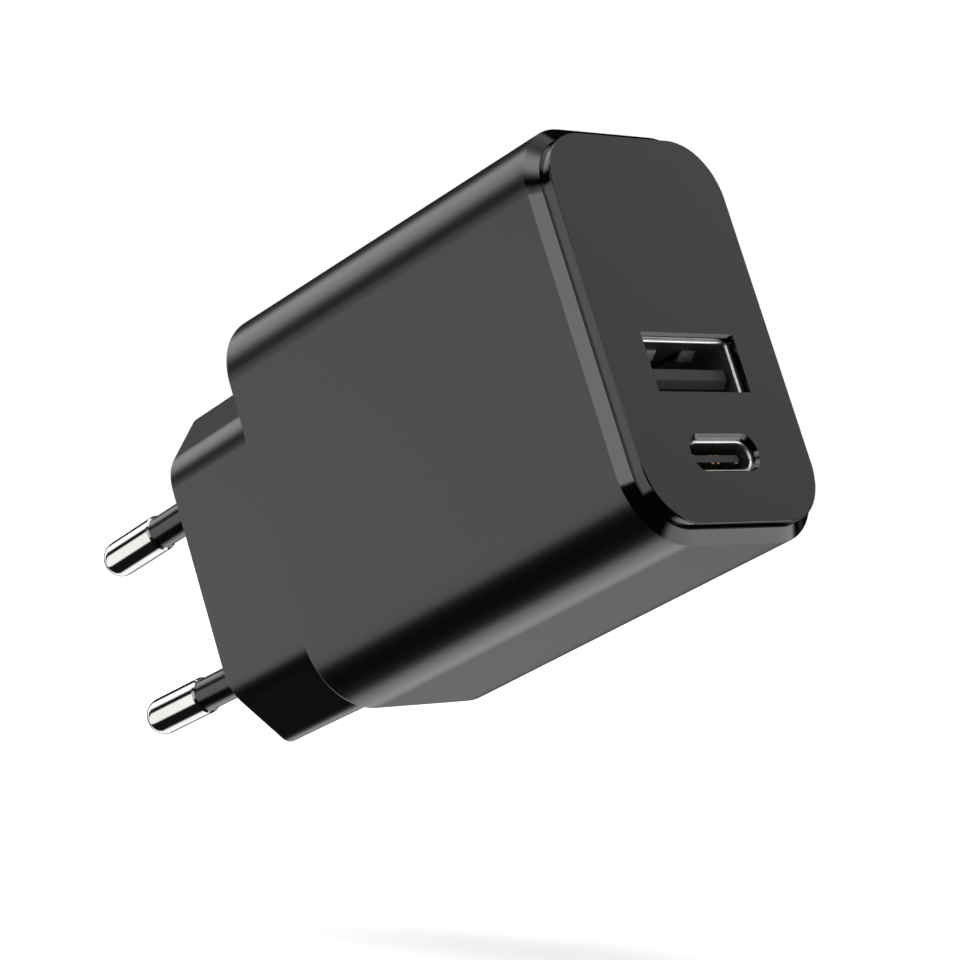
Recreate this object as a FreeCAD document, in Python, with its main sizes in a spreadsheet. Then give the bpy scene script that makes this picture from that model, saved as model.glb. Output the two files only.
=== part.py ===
import FreeCAD, Part
import math
import os
import re
import Sketcher
from FreeCAD import Placement, Rotation, Vector

# Wall charger with a two-pin mains plug on its back and two charging sockets on its front.
# Millimetres. The origin is the middle of the plug's back face, half way between the pins.
# +Y runs along the pins, away from the body. +Z is up, and X runs across the pins.

doc = FreeCAD.newDocument("wall_charger")
sheet = doc.addObject("Spreadsheet::Sheet", "dims")

# ---------------------------------------------------------------- driving dimensions

SIZES = {
    # body shell and plug boss
    "body_width": 27.4, "body_height": 42.0, "body_length": 46.0, "body_corner": 7.2,
    "wall": 1.9, "step_wall": 1.9, "step_edge": 0.35,
    "boss_width": 13.2, "boss_point_height": 37.5, "boss_length": 19.3, "boss_draft": 1.35,
    "boss_point_round": 1.5, "boss_side_round": 4.8, "boss_edge": 0.3, "plug_wall": 2.5,
    # face plate, let into the shell's open front and welded there
    "plate_inset": 1.33, "plate_proud": 1.37, "plate_thick": 2.4, "plate_gap": 0.02,
    "plate_edge": 0.15, "rim_land": 0.03, "rim_bevel": 0.75, "opening_lead": 0.27,
    "skirt_gap": 0.1, "skirt_wall": 1.2, "skirt_length": 2.8,
    # mains pins, as the two-pin plug standard sets them
    "pin_diameter": 4.0, "pin_length": 19.0, "pin_spacing": 19.0, "pin_tip_spacing": 18.0,
    "pin_tip_round": 1.85, "pin_shoulder": 0.2,
    "shank_diameter": 2.9, "sleeve_diameter": 3.5, "sleeve_length": 10.0,
    "tail_diameter": 1.8, "tail_length": 1.6, "contact_thick": 0.5, "contact_width": 3.2,
    "contact_reach": 1.7, "foot_length": 4.0,
    "carrier_thick": 5.0, "carrier_gap": 0.15, "joint_gap": 0.1,
    # circuit boards
    "board_thick": 1.2, "board_under": 1.5, "board_edge": 0.6, "board_side": 2.1,
    "input_board_thick": 1.0, "input_board_side": 0.5,
    "port_board_thick": 1.0, "port_board_side": 1.3, "port_board_edge": 2.6,
    "tab_width": 4.0, "tab_spacing": 22.0, "slot_gap": 0.1, "board_nose": 1.8,
    # USB-A socket
    "usb_pitch": 9.03, "usb_a_inner_width": 12.5, "usb_a_inner_height": 5.0,
    "usb_a_recess": 0.87, "usb_a_depth": 10.23, "can_wall": 0.32, "can_round": 0.2,
    "can_gap": 0.02, "can_lip": 0.24,
    "usb_a_gap_side": 0.08, "usb_a_gap_above": 0.29, "usb_a_gap_below": 0.03,
    "usb_a_tongue_width": 11.1, "usb_a_tongue_thick": 1.8, "usb_a_tongue_drop": 0.79,
    "usb_a_tongue_back": 0.58, "usb_a_tongue_bevel": 0.65, "usb_a_tongue_edge": 0.12,
    "usb_a_base": 1.6,
    "usb_a_contact_width": 1.1, "usb_a_contact_thick": 0.2, "usb_a_contact_back": 0.9,
    "usb_a_inner_pitch": 2.0, "usb_a_outer_pitch": 7.0,
    "finger_width": 2.0, "finger_spacing": 5.65, "finger_front": 1.53, "finger_length": 5.6,
    "finger_bend": 1.15, "finger_dip": 0.75, "finger_lift": 0.05, "finger_gap": 0.25,
    # USB-C socket
    "usb_c_up": 6.87, "usb_c_inner_width": 8.34, "usb_c_inner_height": 2.56,
    "usb_c_recess": 0.6, "usb_c_tongue_width": 6.7, "usb_c_tongue_thick": 0.7,
    "usb_c_tongue_round": 0.28,
    "usb_c_gap_side": 0.41, "usb_c_gap_above": 0.4, "usb_c_gap_below": 0.2,
    "usb_c_tongue_back": 0.7, "usb_c_base": 3.6,
    "usb_c_contact_width": 0.35, "usb_c_contact_thick": 0.16, "usb_c_contact_proud": 0.08,
    "usb_c_contact_back": 0.15, "usb_c_inner_pitch": 0.8, "usb_c_outer_pitch": 5.95,
    # parts on the input board, inside the boss
    "fuse_diameter": 3.6, "fuse_length": 10.0, "fuse_cap": 1.6, "fuse_cap_wall": 0.15,
    "fuse_from_carrier": 3.0, "varistor_diameter": 7.0, "varistor_thick": 3.0,
    "varistor_from_carrier": 9.0,
    "link_size": 0.64, "link_pitch": 2.54, "link_back": 3.2,
    "header_length": 2.5, "header_width": 5.1, "header_height": 2.3,
    "tongue_length": 5.0, "tongue_width": 5.2,
    # parts on the main board, by the back step
    "rear_gap": 0.6, "x_cap_thick": 6.0, "x_cap_tall": 12.0, "x_cap_side": 3.1, "filter_gap": 5.2,
    "choke_top": 2.2, "choke_hole": 7.0, "choke_thick": 4.4, "coil_wrap": 0.8,
    "coil_angle": 120.0, "coil_start": 120.0, "choke_base_thick": 1.0, "choke_side": 2.3,
    # parts on the main board, in the middle
    "front_gap": 1.4, "side_gap": 1.6,
    "core_width": 15.2, "core_depth": 9.2, "core_tall": 14.0, "core_lift": 0.5,
    "core_leg": 2.2, "core_back": 2.4, "core_post": 6.0,
    "bobbin_depth": 15.2, "bobbin_wall": 0.6, "bobbin_gap": 0.1, "rail_width": 2.4,
    "coil_diameter": 10.2, "tape_thick": 0.1,
    "core_gap": 3.4, "bulk_tall": 14.5, "bulk_gap": 0.4, "bulk_groove": 0.35,
    "bulk_groove_up": 2.0, "bulk_groove_wide": 0.8, "bulk_edge": 0.5,
    "opto_length": 6.5, "opto_width": 4.6, "opto_tall": 3.4,
    "y_cap_diameter": 7.0, "y_cap_thick": 3.0,
    "bridge_length": 6.4, "bridge_width": 5.0, "bridge_tall": 1.5,
    "switch_length": 6.0, "switch_width": 8.0, "switch_tall": 0.9, "chip_gap": 1.0,
    # parts on the port board
    "out_cap_diameter": 6.3, "out_cap_tall": 6.4, "out_cap_spacing": 9.0, "out_cap_up": 6.5,
    "out_cap_edge": 0.4, "chip_size": 4.0, "chip_tall": 0.9, "rectifier_size": 5.0,
    "chip_spacing": 11.0, "chip_level": 2.0,
    # sheets between the electronics and the shell
    "sheet_thick": 0.3, "sheet_side": 5.6, "spreader_thick": 0.8,
    "spreader_side": 7.0, "spreader_end": 2.0, "pad_size": 12.0,
}
for row, (name, value) in enumerate(SIZES.items(), 1):
    sheet.set(f"A{row}", name)
    sheet.set(f"B{row}", str(value))
    sheet.setAlias(f"B{row}", name)
doc.recompute()

# Places that several pieces share, worked out from the sizes above.
PLACES = {
    "face": "-(body_length + boss_length)",
    "rim": "-(body_length + boss_length) + plate_proud",
    "plate_back": "-(body_length + boss_length) + plate_thick",
    "step": "-boss_length",
    "rear": "-boss_length - step_wall",
    "cavity_width": "body_width - 2 * wall",
    "cavity_height": "body_height - 2 * wall",
    "cavity_corner": "body_corner - wall",
    "plate_width": "body_width - 2 * plate_inset",
    "plate_height": "body_height - 2 * plate_inset",
    "plate_corner": "body_corner - plate_inset",
    "carrier_face": "-(plug_wall + carrier_thick)",
    "board_low": "-(body_width / 2 - wall) + board_under",
    "board_top": "-(body_width / 2 - wall) + board_under + board_thick",
    "usb_c_level": "-(body_height / 2 - plate_inset - usb_c_up)",
    "usb_a_level": "-(body_height / 2 - plate_inset - usb_c_up) + usb_pitch",
    "usb_a_mouth": "-(body_length + boss_length) + usb_a_recess",
    "usb_c_mouth": "-(body_length + boss_length) + usb_c_recess",
    "port_front": "-(body_length + boss_length) + usb_a_recess + usb_a_depth",
    "port_back": "-(body_length + boss_length) + usb_a_recess + usb_a_depth + port_board_thick",
    "input_left": "-(boss_width / 2 - wall) + input_board_side",
    "input_face": "-(boss_width / 2 - wall) + input_board_side + input_board_thick",
    "board_front": "port_front - board_nose",
    "board_back": "rear - board_edge",
    "tongue_top": "usb_a_level - usb_a_tongue_drop + usb_a_tongue_thick / 2",
    "core_centre_y": "port_back + front_gap + bobbin_depth / 2",
    "core_centre_z": "cavity_height / 2 - side_gap - core_width / 2",
    "core_low": "board_top + core_lift",
    "bulk_diameter": "(cavity_height - 2 * side_gap - core_width - bulk_gap - core_gap) / 2",
    "choke_diameter": "cavity_height / 2 - choke_side - choke_top - 2 * coil_wrap",
    "choke_level": "-(cavity_height / 2 - choke_side - coil_wrap - choke_diameter / 2)",
    "x_cap_low": "choke_level + choke_diameter / 2 + coil_wrap + filter_gap",
    "x_cap_length": "cavity_height / 2 - x_cap_side - x_cap_low",
    "pin_tilt": "atan((pin_spacing - pin_tip_spacing) / 2 / pin_length) / 1 deg",
}
FUNCTIONS = ("sin", "cos", "tan", "atan", "sqrt", "min", "max")


def bound(text):
    """Turn a formula in plain names into one that reads the spreadsheet."""
    return re.sub(r"[a-z][a-z_]*", lambda m: m[0] if m[0] in FUNCTIONS else "dims." + m[0], text)


for row, (name, formula) in enumerate(PLACES.items(), len(SIZES) + 2):
    sheet.set(f"A{row}", name)
    sheet.set(f"B{row}", "=" + formula)
    sheet.setAlias(f"B{row}", name)
doc.recompute()


def size(text):
    """The present value of a formula in plain names."""
    names = {word: float(getattr(sheet, word)) for word in re.findall(r"[a-z][a-z_]*", text)}
    value = text
    for word in sorted(names, key=len, reverse=True):
        value = re.sub(rf"\b{word}\b", f"({names[word]!r})", value)
    return FreeCAD.Units.Quantity(value).Value


# ---------------------------------------------------------------- helpers for primitives

def bind(item, **formulas):
    """Bind properties to spreadsheet formulas: a double underscore stands for a dot."""
    for key, formula in formulas.items():
        item.setExpression(key.replace("__", "."), bound(formula))
    return item


def at(item, x="0", y="0", z="0"):
    return bind(item, Placement__Base__x=x, Placement__Base__y=y, Placement__Base__z=z)


def box(name, across, along, tall):
    """A block: each argument is (low formula, length formula), for X, Y and Z."""
    item = doc.addObject("Part::Box", name)
    bind(item, Length=across[1], Width=along[1], Height=tall[1])
    return at(item, across[0], along[0], tall[0])


TURNS = {
    "x": Rotation(Vector(0, 1, 0), 90),
    "y": Rotation(Vector(-1, 0, 0), 90),
    "z": Rotation(),
}


def rod(name, diameter, length, place, axis):
    """A cylinder from a place along +X, +Y or +Z."""
    item = doc.addObject("Part::Cylinder", name)
    item.Placement = Placement(Vector(), TURNS[axis])
    bind(item, Radius=f"({diameter}) / 2", Height=length)
    return at(item, *place)


def cut(name, base, *tools):
    item = doc.addObject("Part::Cut", name)
    item.Base = base
    item.Tool = tools[0] if len(tools) == 1 else fuse(name + "_tools", *tools)
    return item


def fuse(name, *pieces):
    item = doc.addObject("Part::MultiFuse", name)
    item.Shapes = list(pieces)
    return item


def group(name, *pieces):
    """Separate solids that share one node."""
    item = doc.addObject("Part::Compound", name)
    item.Links = list(pieces)
    return item


def on_pin(item, side):
    """Put a piece drawn along its own Z on the axis of the upper (1) or lower (-1) pin."""
    item.Placement = Placement(Vector(), Rotation(Vector(-1, 0, 0), 90))
    bind(item, Placement__Base__z=f"{side} * pin_spacing / 2",
         Placement__Rotation__Angle=f"90 + {side} * pin_tilt")
    return item


# ---------------------------------------------------------------- helpers for sketches

def plane(body, role):
    return next(item for item in body.Origin.OriginFeatures if item.Role == role)


def sketch(body, name, role="XZ_Plane", level="0"):
    """A sketch on one of the body's own planes, moved along Y, Z or X to a level.

    The XZ plane's own normal is -Y, so its offset is the level with its sign turned.
    """
    item = body.newObject("Sketcher::SketchObject", name)
    item.AttachmentSupport = [(plane(body, role), "")]
    item.MapMode = "FlatFace"
    sign = "-1" if role == "XZ_Plane" else "1"
    bind(item, AttachmentOffset__Base__z=f"{sign} * ({level})")
    return item


def dimension(item, kind, *where, formula):
    index = item.addConstraint(Sketcher.Constraint(kind, *where, size(formula)))
    item.setExpression(f"Constraints[{index}]", bound(formula))


def pin_point(item, geometry, end, x, y):
    """Dimension one point of the sketch from its origin."""
    dimension(item, "DistanceX", -1, 1, geometry, end, formula=x)
    dimension(item, "DistanceY", -1, 1, geometry, end, formula=y)


def polygon(item, points):
    """A closed outline of straight edges through points given as formulas."""
    corners = [Vector(size(x), size(y), 0) for x, y in points]
    first = item.GeometryCount
    count = len(corners)
    for i, corner in enumerate(corners):
        item.addGeometry(Part.LineSegment(corner, corners[(i + 1) % count]))
    for i in range(count):
        item.addConstraint(
            Sketcher.Constraint("Coincident", first + i, 2, first + (i + 1) % count, 1))
    for i, (x, y) in enumerate(points):
        pin_point(item, first + i, 1, x, y)


def rounded(item, corners):
    """A closed outline with a tangent arc at each corner.

    corners lists (centre x, centre y, radius, start angle, end angle) anticlockwise.
    """
    first = item.GeometryCount
    arcs = []
    for x, y, radius, start, end in corners:
        circle = Part.Circle(Vector(size(x), size(y), 0), Vector(0, 0, 1), size(radius))
        arcs.append(Part.ArcOfCircle(circle, math.radians(start), math.radians(end)))
    count = len(arcs)
    for arc in arcs:
        item.addGeometry(arc)
    for i in range(count):
        item.addGeometry(Part.LineSegment(arcs[i].EndPoint, arcs[(i + 1) % count].StartPoint))
    for i, (x, y, radius, _, _) in enumerate(corners):
        line, after = first + count + i, first + (i + 1) % count
        item.addConstraint(Sketcher.Constraint("Tangent", first + i, 2, line, 1))
        item.addConstraint(Sketcher.Constraint("Tangent", line, 2, after, 1))
        pin_point(item, first + i, 3, x, y)
        dimension(item, "Radius", first + i, formula=radius)


def rounded_rectangle(item, width, height, radius, middle="0"):
    """Centred on the sketch's vertical axis, with its middle at a given height."""
    right, top = f"({width}) / 2 - ({radius})", f"({height}) / 2 - ({radius})"
    rounded(item, [
        (right, f"{middle} + {top}", radius, 0, 90),
        (f"-({right})", f"{middle} + {top}", radius, 90, 180),
        (f"-({right})", f"{middle} - ({top})", radius, 180, 270),
        (right, f"{middle} - ({top})", radius, 270, 360),
    ])


ROOT_TWO = "1.4142136"       # a 45 degree facet moves this much further at its point
SIDE_TURN = "0.4142136"      # tangent of half the turn between a flat and a facet
TIP_SHARE = "0.5"            # an inset takes this share of itself off the points' rounding
ROUND_END = "0.01"           # half the hair of straight side that an oval's ends keep


def boss_outline(item, inset="0"):
    """The plug boss: two flats and four 45 degree facets that meet in rounded points."""
    half = f"(boss_width / 2 - ({inset}))"
    point = f"(boss_point_height / 2 - ({inset}) * {ROOT_TWO})"
    tip, side = f"(boss_point_round - ({inset}) * {TIP_SHARE})", f"(boss_side_round - ({inset}))"
    tip_level = f"({point} - {tip} * {ROOT_TWO})"
    side_level = f"({point} - {half} - {side} * {SIDE_TURN})"
    side_reach = f"({half} - {side})"
    rounded(item, [
        (side_reach, f"-{side_level}", side, -45, 0),
        (side_reach, side_level, side, 0, 45),
        ("0", tip_level, tip, 45, 135),
        (f"-{side_reach}", side_level, side, 135, 180),
        (f"-{side_reach}", f"-{side_level}", side, 180, 225),
        ("0", f"-{tip_level}", tip, 225, 315),
    ])


def body(name):
    return doc.addObject("PartDesign::Body", name)


def pad(part, profile, length, forward=True, **more):
    """Add material along +Y from the sketch, or along -Y with forward False."""
    item = part.newObject("PartDesign::Pad", profile.Name + "_pad")
    item.Profile = profile
    item.Reversed = forward
    return bind(item, Length=length, **more)


def pocket(part, profile, length, forward=True):
    """Cut along +Y from the sketch, or along -Y with forward False."""
    item = part.newObject("PartDesign::Pocket", profile.Name + "_pocket")
    item.Profile = profile
    item.Reversed = not forward
    return bind(item, Length=length)


def edges_at(feature, level):
    """Names of the edges that lie in the plane y = level."""
    doc.recompute()
    found = []
    for i, edge in enumerate(feature.Shape.Edges, 1):
        extent = edge.BoundBox
        if abs(extent.YMin - level) < 1e-4 and abs(extent.YMax - level) < 1e-4:
            found.append(f"Edge{i}")
    return found


def soften(part, feature, level, formula):
    """Round every edge of the latest feature that lies at one level."""
    item = part.newObject("PartDesign::Fillet", feature.Name + "_round")
    item.Base = (feature, edges_at(feature, size(level)))
    return bind(item, Radius=formula)


def round_mouth(part, feature, level):
    """Round the inner edges of a can's mouth."""
    doc.recompute()
    low = size(level)
    mouth = next(face for face in feature.Shape.Faces if face.BoundBox.YMax < low + 1e-4)
    ring = min(mouth.Wires, key=lambda wire: wire.Length).Edges
    item = part.newObject("PartDesign::Fillet", feature.Name + "_lip")
    item.Base = (feature, [f"Edge{i}" for i, edge in enumerate(feature.Shape.Edges, 1)
                           if any(edge.isSame(piece) for piece in ring)])
    return bind(item, Radius="can_lip")


# ---------------------------------------------------------------- shell and face plate

def make_housing():
    """One moulding: the open-fronted body and the faceted boss that carries the pins."""
    form = body("housing_form")
    outline = sketch(form, "shell_outline", level="rim")
    rounded_rectangle(outline, "body_width", "body_height", "body_corner")
    walls = pad(form, outline, "step - rim")
    bevel = form.newObject("PartDesign::Chamfer", "rim_bevelled")
    bevel.Base = (walls, edges_at(walls, size("rim")))
    bevel.ChamferType = "Two distances"
    bind(bevel, Size="rim_bevel", Size2="plate_inset - plate_gap - rim_land")
    soften(form, bevel, "step", "step_edge")
    plug = sketch(form, "boss_profile")
    boss_outline(plug)
    boss = pad(form, plug, "boss_length + step_wall / 2", forward=False, TaperAngle="boss_draft")
    soften(form, boss, "0", "boss_edge")
    hollow = sketch(form, "cavity_outline", level="rim")
    rounded_rectangle(hollow, "cavity_width", "cavity_height", "cavity_corner")
    pocket(form, hollow, "rear - rim")
    seat = sketch(form, "plate_seat", level="rim")
    rounded_rectangle(seat, "plate_width + 2 * plate_gap", "plate_height + 2 * plate_gap",
                      "plate_corner + plate_gap")
    pocket(form, seat, "plate_back - rim")
    boss_space = sketch(form, "boss_space", level="rear")
    boss_outline(boss_space, "wall")
    pocket(form, boss_space, "-plug_wall - rear")
    cut("housing_shell", form, *[pin_rod(f"pin_hole_{i}", side, "sleeve_diameter", "-2 * plug_wall",
                                         "4 * plug_wall") for i, side in enumerate((1, -1))])


def pin_rod(name, side, diameter, start, length):
    """A cylinder along a pin's axis, from start, measured outwards from the plug's face."""
    item = doc.addObject("Part::Cylinder", name)
    bind(item, Radius=f"({diameter}) / 2", Height=length)
    on_pin(item, side)
    angle = f"(90 + {side} * pin_tilt)"
    return bind(item, Placement__Base__y=f"({start}) * sin({angle})",
                Placement__Base__z=f"{side} * pin_spacing / 2 + ({start}) * cos({angle})")


def make_face_plate():
    part = body("face_plate")
    outline = sketch(part, "plate_outline", level="face")
    rounded_rectangle(outline, "plate_width", "plate_height", "plate_corner")
    slab = pad(part, outline, "plate_thick")
    soften(part, slab, "face", "plate_edge")
    skirt = sketch(part, "skirt", level="plate_back")
    for inset in ("skirt_gap", "skirt_gap + skirt_wall"):
        rounded_rectangle(skirt, f"cavity_width - 2 * ({inset})", f"cavity_height - 2 * ({inset})",
                          f"cavity_corner - ({inset})")
    pad(part, skirt, "skirt_length")
    lead = "face + opening_lead"
    half, tall = "(usb_a_inner_width / 2 + can_wall)", "(usb_a_inner_height / 2 + can_wall)"
    usb_a = []
    for word, level, side, above, below in (
            ("mouth", "face", "usb_a_gap_side", "usb_a_gap_above", "usb_a_gap_below"),
            ("throat", lead, "can_gap", "can_gap", "can_gap")):
        outline = sketch(part, f"usb_a_{word}", level=level)
        low, high = f"usb_a_level - {tall} - {below}", f"usb_a_level + {tall} + {above}"
        polygon(outline, [(f"-{half} - {side}", low), (f"{half} + {side}", low),
                          (f"{half} + {side}", high), (f"-{half} - {side}", high)])
        usb_a.append(outline)
    funnel(part, *usb_a, "plate_thick - opening_lead")
    mouth = sketch(part, "usb_c_mouth", level="face")
    height = "(usb_c_inner_height + 2 * can_wall + usb_c_gap_above + usb_c_gap_below)"
    rounded_rectangle(mouth, "usb_c_inner_width + 2 * (can_wall + usb_c_gap_side)", height,
                      f"{height} / 2 - {ROUND_END}",
                      "usb_c_level + (usb_c_gap_above - usb_c_gap_below) / 2")
    throat = sketch(part, "usb_c_throat", level=lead)
    usb_c_outline(throat, "2 * (can_wall + can_gap)")
    funnel(part, mouth, throat, "plate_thick - opening_lead")


def funnel(part, mouth, throat, length):
    """Cut an opening that narrows from its mouth to its throat, then runs straight."""
    lead = part.newObject("PartDesign::SubtractiveLoft", mouth.Name + "_lead")
    lead.Profile = mouth
    lead.Sections = [throat]
    lead.Ruled = True
    doc.recompute()
    pocket(part, throat, length)


def usb_c_outline(item, grown="0"):
    """The socket's flat oval, with full round ends."""
    rounded_rectangle(item, f"usb_c_inner_width + {grown}", f"usb_c_inner_height + {grown}",
                      f"(usb_c_inner_height + {grown}) / 2 - {ROUND_END}", "usb_c_level")


# ---------------------------------------------------------------- mains pins

SIDES = (("upper", 1), ("lower", -1))


def make_pins():
    """Necked brass pins, plated, each with a moulded sleeve over the neck."""
    for word, side in SIDES:
        part = body(f"pin_{word}")
        shape = sketch(part, f"pin_{word}_profile", "XZ_Plane")
        shank, tail, full = "shank_diameter / 2", "tail_diameter / 2", "pin_diameter / 2"
        start = "-(plug_wall + carrier_thick)"
        polygon(shape, [
            ("0", f"{start} - tail_length"), (tail, f"{start} - tail_length"), (tail, start),
            (shank, start), (shank, "sleeve_length"), (f"{full} - pin_shoulder", "sleeve_length"),
            (full, "sleeve_length + pin_shoulder"), (full, "pin_length"), ("0", "pin_length"),
        ])
        turn = part.newObject("PartDesign::Revolution", f"pin_{word}_turned")
        turn.Profile = shape
        turn.ReferenceAxis = (shape, ["V_Axis"])
        turn.Angle = 360
        doc.recompute()
        rims = [f"Edge{i}" for i, edge in enumerate(turn.Shape.Edges, 1)
                if edge.BoundBox.ZMin > size("pin_length") - 1e-4 and edge.Length > 1]
        nose = part.newObject("PartDesign::Fillet", f"pin_{word}_nose")
        nose.Base = (turn, rims)
        bind(nose, Radius="pin_tip_round")
        on_pin(part, side)
        sleeve = pin_rod(f"sleeve_{word}_outer", side, "sleeve_diameter", "joint_gap - plug_wall",
                         "plug_wall + sleeve_length - joint_gap")
        neck = pin_rod(f"sleeve_{word}_bore", side, "shank_diameter", "-2 * plug_wall",
                       "3 * plug_wall + sleeve_length")
        cut(f"sleeve_{word}", sleeve, neck)


def make_pin_carrier():
    """The block inside the boss that the pins are pressed into."""
    form = body("carrier_form")
    outline = sketch(form, "carrier_outline", level="-plug_wall")
    boss_outline(outline, "wall + carrier_gap")
    pad(form, outline, "carrier_thick", forward=False)
    bores = [pin_rod(f"carrier_bore_{word}", side, "shank_diameter", "-2 * (plug_wall + carrier_thick)",
                     "2 * (plug_wall + carrier_thick)") for word, side in SIDES]
    cut("pin_carrier", form, *bores)


def make_contacts():
    """Brass angles that join each pin's tail to the input board."""
    for word, side in SIDES:
        start = "-(plug_wall + carrier_thick + joint_gap + contact_thick)"
        plate = box(f"contact_{word}_plate", ("input_face", "contact_reach - input_face"),
                    ("0", "contact_thick"), ("0", "contact_width"))
        foot = box(f"contact_{word}_foot", ("input_face", "contact_thick"),
                   ("0", "foot_length"), ("0", "contact_width"))
        for piece, back in ((plate, start), (foot, f"{start} + contact_thick - foot_length")):
            at(piece, "input_face", back, f"{side} * pin_spacing / 2 - contact_width / 2"
               f" - {side} * ({start}) * tan(pin_tilt)")
        hole = pin_rod(f"contact_{word}_hole", side, "tail_diameter",
                       "-2 * (plug_wall + carrier_thick)", "2 * (plug_wall + carrier_thick)")
        cut(f"contact_{word}", fuse(f"contact_{word}_angle", plate, foot), hole)


# ---------------------------------------------------------------- circuit boards

def make_boards():
    """Input board in the boss, main board along one side, port board across the front."""
    span = f"2 * (boss_point_height / 2 - wall * {ROOT_TWO} + input_left - input_board_side)"
    plate = box("input_board_plate", ("input_left", "input_board_thick"),
                ("rear", "carrier_face - rear"), (f"-({span}) / 2", span))
    tongue = box("input_board_tongue", ("input_left", "input_board_thick"),
                 ("rear - tongue_length", "tongue_length"), ("-tongue_width / 2", "tongue_width"))
    fuse("input_board", plate, tongue)
    tall = "(cavity_height - 2 * board_side)"
    board = box("main_board_blank", ("board_low", "board_thick"),
                ("board_front", "board_back - board_front"), (f"-{tall} / 2", tall))
    slots, tabs = [], []
    for word, side in SIDES:
        middle = f"{side} * tab_spacing / 2"
        slots.append(box(f"slot_{word}", ("board_low", "board_thick"),
                         ("port_front - slot_gap", "port_board_thick + 2 * slot_gap"),
                         (f"{middle} - tab_width / 2 - slot_gap", "tab_width + 2 * slot_gap")))
        tabs.append(box(f"tab_{word}", ("board_low", "board_thick"),
                        ("port_front", "port_board_thick"),
                        (f"{middle} - tab_width / 2", "tab_width")))
    cut("main_board", board, *slots)
    tall = "(cavity_height - 2 * port_board_edge)"
    across = box("port_board_blank",
                 ("board_top", "cavity_width / 2 - port_board_side - board_top"),
                 ("port_front", "port_board_thick"), (f"-{tall} / 2", tall))
    fuse("port_board", across, *tabs)


def make_link():
    """Pin header that stands on the main board and carries the input board's tongue."""
    leads = []
    for word, side in SIDES:
        leads.append(box(f"link_{word}", ("board_top", "input_left - board_top"),
                         ("rear - link_back - link_size / 2", "link_size"),
                         (f"{side} * link_pitch / 2 - link_size / 2", "link_size")))
    group("link_leads", *leads)
    block = box("link_block", ("board_top", "header_height"),
                ("rear - link_back - header_length / 2", "header_length"),
                ("-header_width / 2", "header_width"))
    cut("link_header", block, *leads)


# ---------------------------------------------------------------- parts on the input board

def make_input_parts():
    y = "carrier_face - fuse_from_carrier"
    x = "input_face + fuse_diameter / 2"
    inner = "fuse_diameter - 2 * fuse_cap_wall"
    barrel = rod("fuse_barrel_blank", inner, "fuse_length", (x, y, "-fuse_length / 2"), "z")
    barrel.Label = "fuse_tube"
    caps = []
    for word, start in (("upper", "fuse_length / 2 - fuse_cap"), ("lower", "-fuse_length / 2")):
        outer = rod(f"fuse_cap_{word}_outer", "fuse_diameter", "fuse_cap", (x, y, start), "z")
        caps.append(cut(f"fuse_cap_{word}", outer, barrel))
    group("fuse_caps", *caps)
    rod("varistor", "varistor_diameter", "varistor_thick",
        ("input_face", "carrier_face - varistor_from_carrier", "0"), "x")


# ---------------------------------------------------------------- parts on the main board

def make_mains_filter():
    """Safety capacitor and common-mode choke, side by side against the back step."""
    back = "board_back - rear_gap"
    blank = box("x_capacitor_blank", ("board_top", "x_cap_tall"),
                (f"{back} - x_cap_thick", "x_cap_thick"), ("x_cap_low", "x_cap_length"))
    blank.Label = "x_capacitor"
    x = "board_top + choke_base_thick + coil_wrap + choke_diameter / 2"
    front = f"{back} - coil_wrap - choke_thick"
    centre = (x, front, "choke_level")
    ring = cut("choke_core", rod("choke_disc", "choke_diameter", "choke_thick", centre, "y"),
               rod("choke_eye", "choke_hole", "choke_thick", centre, "y"))
    coils = []
    wide = (x, f"{front} - coil_wrap", "choke_level")
    for word, half_turn in (("left", 0), ("right", 180)):
        outer = rod(f"coil_{word}_outer", "choke_diameter + 2 * coil_wrap",
                    "choke_thick + 2 * coil_wrap", wide, "y")
        bind(outer, Angle="coil_angle")
        turn = size("coil_start") + half_turn
        outer.Placement = Placement(Vector(), TURNS["y"].multiply(Rotation(Vector(0, 0, 1), turn)))
        at(outer, *wide)
        inner = rod(f"coil_{word}_inner", "choke_hole - 2 * coil_wrap",
                    "choke_thick + 2 * coil_wrap", wide, "y")
        coils.append(cut(f"coil_{word}", outer, inner, ring))
    group("choke_windings", *coils)
    box("choke_base", ("board_top", "choke_base_thick"),
        (f"{front} - coil_wrap", "choke_thick + 2 * coil_wrap"),
        ("choke_level - choke_diameter / 2", "choke_diameter"))


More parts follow.
